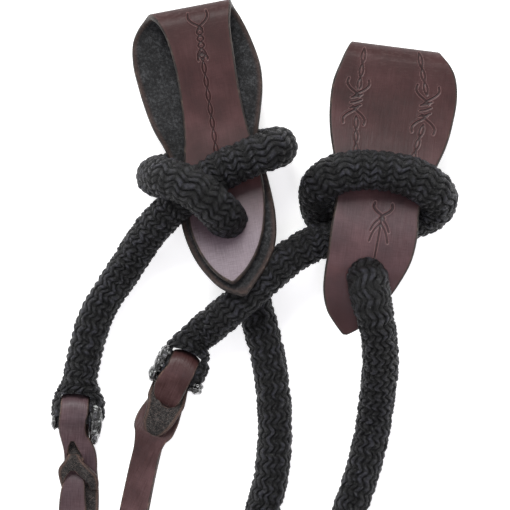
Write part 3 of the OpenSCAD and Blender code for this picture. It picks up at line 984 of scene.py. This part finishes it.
def lash_strip(name, end, rows, materials, tip=False, dome=0.0, sheen_and_shade=0.0):
    """A strip of a lash. Each row is (past, height, left, right, slit left, slit right), in mm.

    The slit is a gap between its two values. Without the last one it is closed. dome is how
    far the strip's edges lie back from its middle, where it turns round the bar. The last
    setting is how much pale lilac painted sheen the strip gets.
    """
    table = np.array([(*row, row[4])[:6] for row in rows], float) * MM
    ready = np.column_stack([table[:, 0], np.zeros(len(table)), table[:, 1], table[:, 2:]])
    curve = spline(ready, LASH_ROW)
    path = curve[:, [0, 2]]
    left, right, slit_left, slit_right = curve[:, 3:].T
    middle_gap = np.maximum(slit_right - slit_left, NO_GAP)
    is_open = middle_gap > 3 * NO_GAP
    centre = np.clip((slit_left + slit_right) / 2, left + 0.001, right - 0.001)
    slit_left, slit_right = centre - middle_gap / 2, centre + middle_gap / 2
    half = LASH_COLUMNS // 2
    share = np.linspace(0, 1, half)
    left, right = left + LASH_RIM, right - LASH_RIM
    open_rim = LASH_RIM * is_open
    a_side = left[:, None] + (slit_left - open_rim - left)[:, None] * share
    b_side = (slit_right + open_rim)[:, None] * (1 - share) + right[:, None] * share
    b = np.concatenate([a_side, b_side], axis=1)
    slope = unit(np.gradient(path, axis=0))
    past = every_column(path[:, 0], LASH_COLUMNS)
    if tip:
        ramp = smoothstep(path[-1, 0] - 0.03, path[-1, 0], path[:, 0])[:, None]
        past = past - TIP_SKEW * ramp * (right[:, None] - b) / (right - left)[:, None]
    if dome:
        across = (2 * b - left[:, None] - right[:, None]) / (right - left)[:, None]
        round_bar = 1 - smoothstep(-0.004, 0.006, path[:, :1])
        past = past + dome * round_bar * across**2
    height = every_column(path[:, 1], LASH_COLUMNS)
    length = np.arange(len(path)) * LASH_ROW
    height = height + LASH_WAVES * wobble(len(name), length[:, None] + 0.4 * b, 0.011)
    middle = end.place(past, b, height)
    tangent = end.place(slope[:, 0], 0.0, slope[:, 1]) - end.place(0.0, 0.0, 0.0)
    normal = every_column(unit(np.cross(tangent, end.aside)), LASH_COLUMNS)
    keep = np.ones((len(path) - 1, LASH_COLUMNS - 1), bool)
    keep[:, half - 1] = ~(is_open[:-1] & is_open[1:])
    near_edge = np.minimum(b - left[:, None], right[:, None] - b)
    values = {
        "tool": np.zeros(b.shape),
        "edge": np.clip(near_edge / LASH_BORDER, 0, 1),
        "bend": np.zeros(b.shape),
        # Painted sheen: how pale and lilac the strip is painted
        "sheen_and_shade": np.full(b.shape, sheen_and_shade),
    }
    uv = np.stack([b, every_column(length, LASH_COLUMNS)], axis=-1)
    return leather_sheet(
        name, middle, normal, LASH_THICKNESS, keep, uv, values, materials, LASH_RIM
    )


def over_the_bar(slit, left, right):
    """The ring's rows, from under the bar to its top."""
    return [(past, height, left, right, slit) for past, height in RING]


def lash(name, end, leather, strips):
    """A lash joined from strips, each (name, whether its grain is up, rows, other settings)."""
    grain, flesh, edge = leather
    parts = [
        lash_strip(strip, end, rows, (grain, flesh, edge) if up else (flesh, grain, edge), **rest)
        for strip, up, rows, rest in strips
    ]
    with bpy.context.temp_override(
        active_object=parts[0], selected_editable_objects=parts, object=parts[0]
    ):
        bpy.ops.object.join()
    parts[0].name = parts[0].data.name = name
    return parts[0]


def left_lash(end, leather):
    upper = over_the_bar(-1.8, -7.7, 5.1) + [
        (3.5, 14.7, -8.0, 4.5, -1.8), (7, 12.6, -8.2, 4.2, -1.8), (10.5, 9.9, -7.9, 4.8, -1.8),
        (12.6, 8.6, -7.3, 6.2, -1.9, -1.7), (14.2, 7.9, -6.9, 7.2, -2.5, -1.1),
        (17, 6.9, -6.1, 8.5, -3.5, 0.4), (20, 5.9, -5.6, 9.3, -3.8, 2.0),
        (24, 4.6, -5.4, 9.7, -2.6, 3.0), (28, 3.6, -5.4, 9.7, -0.2, 1.2),
        (33, 3.2, -5.4, 9.4, 0.5),
    ]
    arch = [
        (20.6, 7.6, -3.6, 1.6, 0.2), (22.2, 8.8, -4.6, 2.6, 0.2), (24, 9.0, -5.8, 4.4, -0.1),
        (26.0, 8.6, -7.2, 6.8, -0.8), (27.6, 8.0, -7.7, 8.6, -2.1, 0.3),
        (29.6, 7.2, -7.6, 10.2, -3.5, 2.4), (32.2, 6.0, -7.0, 10.9, -4.6, 5.4),
        (35.2, 3.8, -6.2, 10.8, -5.0, 6.6),
    ]
    inner = [
        (9, 2.6, -5.5, 5.0, 0), (15, 3.0, -6.0, 5.4, 0), (19, 4.2, -5.0, 4.4, 0),
        (23.4, 6.4, -3.8, 3.5, 0),
    ]
    long_tail = [
        (25, 3.0, -3.6, 3.2, 0), (29, 4.6, -4.4, 3.8, 0), (33, 5.6, -5.4, 4.6, 0),
        (38, 5.2, -6.4, 5.0, 0), (46, 3.8, -6.9, 5.8, 0), (60, 3.0, -6.2, 6.8, 0),
        (85, 3.0, -5.5, 7.5, 0), (110, 3.0, -5.0, 8.0, 0), (LONG_TAIL_END, 3.0, -4.6, 8.4, 0),
    ]
    short_tail = [
        (25, 2.2, 1.5, 9.4, 5), (34, 1.5, 0.5, 10.6, 5), (45, 1.2, -1.5, 11.2, 5),
        (60, 1.1, -2.6, 10.4, 5), (85, 1.1, -2.1, 10.9, 5), (SHORT_TAIL_END, 1.1, -1.4, 11.6, 5),
    ]
    return lash("left_lash_leather", end, leather, [
        # The upper strip and the long tail get a pale painted sheen
        ("upper", True, upper, {"dome": 0.0009, "sheen_and_shade": 0.28}),
        ("arch", False, arch, {}),
        ("inner", False, inner, {}),
        ("long", True, long_tail, {"tip": True, "sheen_and_shade": 0.25}),
        ("short", False, short_tail, {"tip": True}),
    ])


def right_lash(end, leather):
    tongue = over_the_bar(0.4, -6.2, 6.8) + [
        (3.5, 14.8, -7.0, 6.6, 0), (8, 13.0, -8.0, 6.3, 0), (12, 10.9, -8.1, 6.0, 0),
        (15, 9.6, -6.9, 5.6, 0), (17, 8.2, -5.0, 4.9, 0.4), (18.6, 6.4, -3.0, 3.9, 0.5),
        (19.6, 4.4, -1.9, 3.0, 0.5),
    ]
    band = [
        (5, 3.6, -8.8, 6.9, -7.0, 5.2), (10, 4.8, -9.4, 7.3, -7.4, 5.4),
        (14, 6.0, -9.4, 8.2, -6.9, 5.2), (17, 7.2, -9.2, 8.6, -4.4, 4.8),
        (19, 8.2, -8.3, 8.2, -1.6, 3.0), (20.5, 8.8, -7.8, 7.9, 0.4), (25, 9.4, -6.8, 7.2, 0.4),
        (28.5, 8.9, -6.3, 6.0, 0.4), (31.2, 7.6, -4.8, 4.6, 0), (33.0, 5.6, -2.8, 3.0, 0),
        (33.9, 3.6, -1.6, 2.2, 0),
    ]

    def tail(past, height, aside):
        """A row of a tail that bends to the right."""
        drift = np.interp(past, RIGHT_TAIL_PAST, RIGHT_TAIL_DRIFT)
        return (past, height, drift + aside - 6.5, drift + aside + 6.5, drift)

    long_tail = [
        (19, 2.8, -8.4, 8.4, -5.6, 5.8), (25, 3.8, -9.8, 9.2, -6.2, 6.6),
        (28, 4.4, -10.1, 9.2, -5.4, 5.4), (31, 5.2, -9.9, 9.0, -4.2, 3.8),
        (33, 5.8, -9.2, 8.2, -2.0, 2.0), (34.4, 6.1, -8.2, 7.4, 0.2), (41, 5.4, -5.8, 7.0, 0.6),
        (50, 4.0, -4.2, 8.7, 2.2), tail(66, 3.0, 0), tail(85, 3.0, 0), tail(110, 3.0, 0),
        tail(LONG_TAIL_END, 3.0, 0),
    ]
    short_tail = [
        (26, 1.6, -4.0, 6.0, 2), (36, 1.3, -4.6, 6.6, 2), tail(50, 1.1, 0.3), tail(66, 1.1, 0.6),
        tail(85, 1.1, 0.8), tail(SHORT_TAIL_END, 1.1, 1.2),
    ]
    return lash("right_lash_leather", end, leather, [
        ("tongue", True, tongue, {"dome": 0.0018}),
        ("band", False, band, {}),
        ("long", True, long_tail, {"tip": True}),
        ("short", True, short_tail, {"tip": True}),
    ])


# --- Materials ------------------------------------------------------------------------


class Paint:
    """A material's nodes, made by short calls."""

    def __init__(self, name, constants):
        self.material = bpy.data.materials.new(name)
        self.material.use_nodes = True
        self.tree = self.material.node_tree
        self.shader = self.tree.nodes["Principled BSDF"]
        for socket, value in constants.items():
            self.shader.inputs[socket].default_value = value

    def add(self, kind, sockets, **settings):
        node = self.tree.nodes.new(kind)
        for setting, value in settings.items():
            setattr(node, setting, value)
        for socket, value in sockets.items():
            if isinstance(value, bpy.types.NodeSocket):
                self.tree.links.new(value, node.inputs[socket])
            else:
                node.inputs[socket].default_value = value
        return node

    def value(self, name):
        return self.add("ShaderNodeAttribute", {}, attribute_name=name).outputs["Fac"]

    def noise(self, scale, detail=3.0, roughness=0.55, surface=False):
        """Noise in the piece's own space, or on its unrolled surface.

        A scale of three numbers stretches it.
        """
        if surface:
            vector = self.add("ShaderNodeUVMap", {}, uv_map="surface").outputs["UV"]
        else:
            vector = self.add("ShaderNodeTexCoord", {}).outputs["Object"]
        if isinstance(scale, tuple):
            sockets = {"Vector": vector, "Scale": scale}
            vector, scale = self.add("ShaderNodeMapping", sockets).outputs["Vector"], 1.0
        sockets = {"Vector": vector, "Scale": scale, "Detail": detail, "Roughness": roughness}
        return self.add("ShaderNodeTexNoise", sockets).outputs["Fac"]

    def math(self, operation, a, b):
        return self.add("ShaderNodeMath", {0: a, 1: b}, operation=operation).outputs[0]

    def times(self, a, b):
        return self.math("MULTIPLY", a, b)

    def blend(self, a, b, share):
        """a with a share of b."""
        return self.math("ADD", self.times(a, 1 - share), self.times(b, share))

    def span(self, value, low, high, to_low=0.0, to_high=1.0):
        sockets = {"Value": value, "From Min": low, "From Max": high,
                   "To Min": to_low, "To Max": to_high}
        return self.add("ShaderNodeMapRange", sockets, clamp=True).outputs["Result"]

    def ramp(self, value, stops):
        node = self.add("ShaderNodeValToRGB", {"Fac": value})
        marks = node.color_ramp.elements
        for place, _ in stops[2:]:
            marks.new(place)
        for mark, (place, colour) in zip(marks, stops):
            mark.position = place
            mark.color = (*colour, 1.0)
        return node.outputs["Color"]

    def mix(self, share, a, b, how="MIX"):
        sockets = {0: share, 6: a, 7: b}
        return self.add("ShaderNodeMix", sockets, data_type="RGBA", blend_type=how).outputs[2]

    def bump(self, height, distance, strength=1.0, below=None):
        sockets = {"Height": height, "Distance": distance, "Strength": strength}
        if below is not None:
            sockets["Normal"] = below
        return self.add("ShaderNodeBump", sockets).outputs["Normal"]

    def finish(self, colour, roughness, normal):
        links = self.tree.links
        links.new(colour, self.shader.inputs["Base Color"])
        links.new(roughness, self.shader.inputs["Roughness"])
        links.new(normal, self.shader.inputs["Normal"])
        return self.material


def rope_paint():
    """Black braided nylon: yarns of fine glossy fibres, with painted shade that darkens the
    crevices between the yarns.
    """
    paint = Paint("black_braid", {
        "Specular IOR Level": 0.42, "Sheen Weight": 0.01, "Sheen Roughness": 0.42,
        "Sheen Tint": (0.62, 0.64, 0.70, 1.0),
    })
    fibres = paint.noise((9.0, 1.6, 1.0), 5.0, 0.7, surface=True)
    plies = paint.noise(1150.0, 3.0, 0.65)
    patches = paint.noise(170.0, 3.0, 0.6)
    dust = paint.noise(900.0, 2.0)
    # Painted shade: the colour runs towards black in the crevices between the yarns
    yarn_and_shade = paint.ramp(paint.value("crevice"), [
        (0.0, (0.020, 0.020, 0.027)), (0.18, (0.0075, 0.0075, 0.010)),
        (0.36, (0.0012, 0.0012, 0.0016)), (1.0, (0.0003, 0.0003, 0.0004)),
    ])
    tone = paint.span(paint.value("tone"), -1.0, 1.0, 0.50, 1.35)
    grain = paint.span(fibres, 0.34, 0.66, 0.25, 1.75)
    shade = paint.times(paint.times(tone, grain), paint.span(patches, 0.3, 0.7, 0.62, 1.40))
    colour = paint.mix(1.0, yarn_and_shade, shade, "MULTIPLY")
    lint = paint.span(dust, 0.66, 0.74, 0.0, 0.7)
    colour = paint.mix(lint, colour, (0.12, 0.125, 0.12, 1.0))
    roughness = paint.span(plies, 0.35, 0.65, 0.24, 0.60)
    normal = paint.bump(plies, 0.0014, 0.9)
    return paint.finish(colour, roughness, paint.bump(fibres, 0.0006, 1.0, normal))


def core_paint():
    """The rope's cut inside: dark fibres, fused here and there."""
    paint = Paint("rope_core", {"Specular IOR Level": 0.4, "Sheen Weight": 0.1})
    fibres = paint.noise(1400.0, 4.0, 0.7)
    patches = paint.noise(350.0, 2.0)
    colour = paint.ramp(fibres, [
        (0.30, (0.006, 0.006, 0.006)), (0.60, (0.020, 0.020, 0.021)), (0.85, (0.10, 0.10, 0.095)),
    ])
    roughness = paint.span(patches, 0.45, 0.6, 0.75, 0.35)
    return paint.finish(colour, roughness, paint.bump(fibres, 0.0003))


def sealed_paint():
    """Melted nylon: dark and glassy, with crinkles and pale patches that are partly milky nylon and
    partly painted highlight.
    """
    paint = Paint("sealed_nylon", {
        "Specular IOR Level": 0.9, "Coat Weight": 0.9, "Coat Roughness": 0.03,
    })
    crinkle = paint.noise(260.0, 3.0, 0.5)
    milk_and_glint = paint.noise(330.0, 3.0, 0.6)
    # The pale patches are partly milky melted nylon and partly painted highlight
    colour = paint.ramp(milk_and_glint, [
        (0.52, (0.003, 0.003, 0.003)), (0.60, (0.030, 0.032, 0.032)), (0.66, (0.45, 0.47, 0.45)),
    ])
    roughness = paint.span(crinkle, 0.35, 0.65, 0.05, 0.22)
    return paint.finish(colour, roughness, paint.bump(crinkle, 0.0030))


def grain_paint(name, dark, mid, light, creased):
    """The dressed side of the leather: fine streaks along it, pores and dark tooled lines, with
    painted sheen, painted shade and painted highlights along the tooled lines' lips.
    """
    paint = Paint(name, {
        "Specular IOR Level": 0.28, "Coat Weight": 0.08, "Coat Roughness": 0.34,
        "Sheen Weight": 0.02, "Sheen Roughness": 0.5,
    })
    streaks = paint.noise((2600.0, 95.0, 1.0), 4.0, 0.65, surface=True)
    clouds = paint.noise(55.0, 3.0)
    pores = paint.noise(2100.0, 3.0, 0.6)
    creases = paint.noise((300.0, 900.0, 1.0), 3.0, 0.6, surface=True)
    weave = paint.noise((220.0, 1900.0, 1.0), 3.0, 0.6, surface=True)
    lines = paint.blend(streaks, weave, 0.4)
    blend = paint.blend(clouds, lines, 0.35)
    colour = paint.ramp(blend, [(0.36, dark), (0.50, mid), (0.66, light)])
    # Painted sheen: a pale lilac colour where the amount is above zero
    sheen_and_shade = paint.value("sheen_and_shade")
    pale = paint.ramp(lines, [(0.32, (0.095, 0.068, 0.083)), (0.66, (0.25, 0.20, 0.235))])
    colour = paint.mix(paint.span(sheen_and_shade, 0.0, 1.0, 0.0, 0.85), colour, pale)
    # Painted shade: a dark red colour where the amount is below zero, at the folds and the right
    # strap's tip
    painted_shade = paint.span(sheen_and_shade, -1.0, 0.0, 0.75, 0.0)
    colour = paint.mix(painted_shade, colour, (0.026, 0.0040, 0.0034, 1.0))
    worn = paint.span(paint.value("edge"), 0.0, 0.35, 0.22, 0.0)
    worn = paint.times(worn, paint.span(pores, 0.35, 0.6, 0.4, 1.0))
    colour = paint.mix(worn, colour, (0.085, 0.042, 0.034, 1.0))
    bent = paint.times(paint.value("bend"), paint.span(creases, 0.5, 0.7, 0.0, 0.35))
    colour = paint.mix(bent, colour, (0.14, 0.09, 0.085, 1.0))
    tool = paint.value("tool")
    # Painted highlight: a pale line along the lip of each tooled groove
    lip = paint.times(paint.span(tool, 0.03, 0.10), paint.span(tool, 0.16, 0.30, 0.55, 0.0))
    colour = paint.mix(lip, colour, (0.21, 0.115, 0.11, 1.0))
    colour = paint.mix(paint.span(tool, 0.25, 0.95, 0.0, 0.85), colour, (0.012, 0.004, 0.004, 1.0))
    roughness = paint.span(streaks, 0.3, 0.7, 0.36, 0.54)
    roughness = paint.math("ADD", roughness, paint.times(paint.value("bend"), 0.25))
    folds = paint.noise((650.0, 60.0, 1.0), 3.0, 0.6, surface=True)
    normal = paint.bump(folds, creased)
    normal = paint.bump(lines, 0.00009, 0.9, normal)
    normal = paint.bump(pores, 0.00006, 0.8, normal)
    normal = paint.bump(paint.times(creases, paint.value("bend")), 0.0003, 0.7, normal)
    return paint.finish(colour, roughness, normal)


def flesh_paint(name, flecks, tone, border):
    """The rough side of the leather: charcoal, with a short nap. flecks are its paler hairs.

    Its border, by the cut edge, is bare leather.
    """
    paint = Paint(name, {
        "Specular IOR Level": 0.2, "Sheen Weight": 0.12, "Sheen Roughness": 0.6,
        "Sheen Tint": (0.55, 0.58, 0.60, 1.0),
    })
    nap = paint.noise(800.0, 5.0, 0.75)
    hairs = paint.noise(2600.0, 3.0, 0.7)
    clouds = paint.noise(180.0, 3.0)
    blend = paint.blend(nap, clouds, 0.3)
    dark, mid, light = (tuple(level * c for c in tone) for level in (0.004, 0.015, 0.058))
    colour = paint.ramp(blend, [(0.38, dark), (0.50, mid), (0.64, light)])
    colour = paint.mix(paint.span(hairs, 0.54, 0.66, 0.0, flecks), colour, (0.22, 0.17, 0.15, 1.0))
    bare = paint.span(paint.value("edge"), 0.0, 0.5, 0.95, 0.0)
    bare = paint.times(bare, paint.span(nap, 0.35, 0.6, 0.6, 1.0))
    colour = paint.mix(bare, colour, (*border, 1.0))
    roughness = paint.span(nap, 0.3, 0.7, 0.95, 0.75)
    return paint.finish(colour, roughness, paint.bump(nap, 0.0009))


def edge_paint(name, dark, mid, light):
    """The cut edge: brown, dressed dark in places, with the leather's layers."""
    paint = Paint(name, {"Specular IOR Level": 0.4, "Coat Weight": 0.1})
    layers = paint.noise((500.0, 500.0, 2600.0), 3.0, 0.6)
    clouds = paint.noise(220.0, 3.0)
    blend = paint.blend(layers, clouds, 0.5)
    colour = paint.ramp(blend, [(0.36, dark), (0.52, mid), (0.68, light)])
    roughness = paint.span(clouds, 0.3, 0.7, 0.45, 0.7)
    return paint.finish(colour, roughness, paint.bump(layers, 0.00025))


# --- The object -----------------------------------------------------------------------

# How far each tail's piece runs on into the hitch
LEFT_TAIL_UNDER_HITCH = 0.012
RIGHT_TAIL_UNDER_HITCH = 0.026
# The rein is finely made from the hitches to these points, and coarser in its coil
NEAR_LEFT = LEFT_REIN[6]
NEAR_RIGHT = RIGHT_REIN[6]
REIN_ROWS = 5
LEFT_SLOT_SHIFT = -0.0013

# The melted lumps on each rope end, as (past, aside, height, three radii), in mm
LEFT_LUMPS = [
    (5.0, 8.4, 10.5, 6.0, 2.9, 4.6), (0.5, 8.0, 13.0, 3.4, 3.0, 2.4),
    (10.0, 8.0, 6.5, 4.6, 2.3, 4.0), (5.0, -10.4, 9.0, 3.6, 1.4, 4.2),
]
RIGHT_LUMPS = [
    (2.0, -9.4, 10.5, 4.4, 3.0, 4.8), (7.0, -10.2, 8.0, 3.8, 2.8, 5.2),
    (-3.5, -9.0, 12.6, 3.6, 2.4, 2.6), (5.6, 10.0, 9.6, 2.8, 2.8, 4.6),
]
# Painted light on each strap, as (distance from the fold, amount): painted sheen above zero,
# painted shade below zero
LEFT_SHEEN_AND_SHADE = [
    (0.0, -1.0), (0.02, -0.45), (0.05, -0.1), (0.083, 0.0), (0.096, 0.4), (0.108, 0.9), (0.13, 1.0),
]
RIGHT_SHEEN_AND_SHADE = [
    (0.0, -0.6), (0.015, -0.35), (0.04, 0.0), (0.06, 0.05), (0.08, 0.2), (0.1, 0.1), (0.115, -0.5),
    (0.13, -1.0),
]


def hand_in(piece, body, slot, *nodes):
    """Puts a piece on the body that it rides on, and hides the nodes that it replaces. slot is not
    used.
    """
    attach(piece, body)
    if nodes:
        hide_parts(*nodes)
    return piece


def rope_piece(name, spans, *nodes):
    return hand_in(braided_rope(name, rope, spans, black_braid), "reins", "rope", *nodes)


def fine_rope(name, start, end, node):
    return rope_piece(name, [(start, end, FINE_COLUMNS, FINE_ROWS)], node)


def route(start, end):
    """Points of the rope's line between two places, in the frame."""
    s = np.append(np.arange(start, end, ZIG), end)
    return [tuple(p) for p in (rope.sample(s)[0] - MIDDLE).tolist()]


add_camera()
add_studio()
add_floor()

rope = RopeLine()
black_braid = rope_paint()
rope_core = core_paint()
sealed_nylon = sealed_paint()

left_tail_at = rope.place(LEFT_TAIL[-1])
left_tail_start = rope.place(LEFT_TAIL[0]) + LEFT_TAIL_UNDER_HITCH
left_rein_at = rope.place(LEFT_REIN[-1])
near_left = rope.place(NEAR_LEFT)
near_right = rope.place(NEAR_RIGHT)
right_rein_at = rope.place(RIGHT_REIN[-1])
right_tail_start = rope.place(RIGHT_TAIL[0]) - RIGHT_TAIL_UNDER_HITCH
right_tail_at = rope.place(RIGHT_TAIL[-1])

rein = rope_piece("braided_rein", [
    (left_rein_at, near_left, FINE_COLUMNS, REIN_ROWS),
    (near_left, near_right, COARSE_COLUMNS, COARSE_ROWS),
    (near_right, right_rein_at, FINE_COLUMNS, REIN_ROWS),
], "rein_left", "rein_coil", "rein_right")
left_tail = fine_rope("left_tail_braid", left_tail_at, left_tail_start, "tail_left")
right_tail = fine_rope("right_tail_braid", right_tail_start, right_tail_at, "tail_right")
fine_rope("left_hitch_braid", left_tail_start, left_rein_at, "hitch_left")
fine_rope("right_hitch_braid", right_rein_at, right_tail_start, "hitch_right")

left_end = RopeEnd(LEFT_EYE, LEFT_EYE_LEAN, LEFT_SLOT_SHIFT, left_tail_at, -1)
right_end = RopeEnd(RIGHT_EYE, RIGHT_EYE_LEAN, 0.0, right_tail_at, 1)
sides = [
    ("left", left_end, (0.0, left_tail_at), LEFT_LUMPS, left_lash),
    ("right", right_end, (right_tail_at, rope.at[-1]), RIGHT_LUMPS, right_lash),
]
ends, lumps, lashes = {}, {}, {}
for side, end, span, _, _ in sides:
    piece = rope_end(f"{side}_rope_end", rope, end, span, (black_braid, rope_core))
    ends[side] = hand_in(piece, "reins", "sealed_rope", f"rope_end_{side}")
for side, end, _, balls, _ in sides:
    piece = sealed_lumps(f"{side}_sealed_nylon", end, balls, sealed_nylon)
    lumps[side] = hand_in(piece, "reins", "sealed_rope")

strap_leather = (
    grain_paint("strap_grain", (0.024, 0.0066, 0.0064), (0.043, 0.0130, 0.0130),
                (0.078, 0.030, 0.031), 0.00012),
    flesh_paint("strap_flesh", 0.08, (1.0, 1.03, 1.08), (0.060, 0.036, 0.030)),
    edge_paint("strap_edge", (0.010, 0.007, 0.006), (0.024, 0.015, 0.012), (0.10, 0.066, 0.050)),
)
lash_leather = (
    grain_paint("lash_grain", (0.024, 0.0080, 0.0074), (0.048, 0.0180, 0.0175),
                (0.100, 0.048, 0.049), 0.0007),
    flesh_paint("lash_flesh", 0.7, (1.1, 1.0, 0.95), (0.130, 0.078, 0.060)),
    edge_paint("lash_edge", (0.016, 0.010, 0.009), (0.050, 0.028, 0.022), (0.20, 0.12, 0.092)),
)
straps = {
    "left": (LEFT_FOLD, LEFT_LEAN, LEFT_FOLD_HEIGHT, LEFT_HOLE, (LEFT_FRONT_SIDE, LEFT_BACK_SIDE),
             (LEFT_FRONT_OUTLINE, LEFT_BACK_OUTLINE), left_tooling, LEFT_SHEEN_AND_SHADE),
    "right": (RIGHT_FOLD, RIGHT_LEAN, RIGHT_FOLD_HEIGHT, RIGHT_HOLE,
              (RIGHT_FRONT_SIDE, RIGHT_BACK_SIDE), (RIGHT_FRONT_OUTLINE, RIGHT_BACK_OUTLINE),
              right_tooling, RIGHT_SHEEN_AND_SHADE),
}
for side, settings in straps.items():
    piece = strap(f"{side}_strap_leather", *settings, strap_leather)
    hand_in(piece, "reins", "strap_leather", f"strap_{side}")
for side, end, _, _, make_lash in sides:
    name = f"lash_{side}"
    lashes[side] = hand_in(make_lash(end, lash_leather), name, "lash_leather", name)
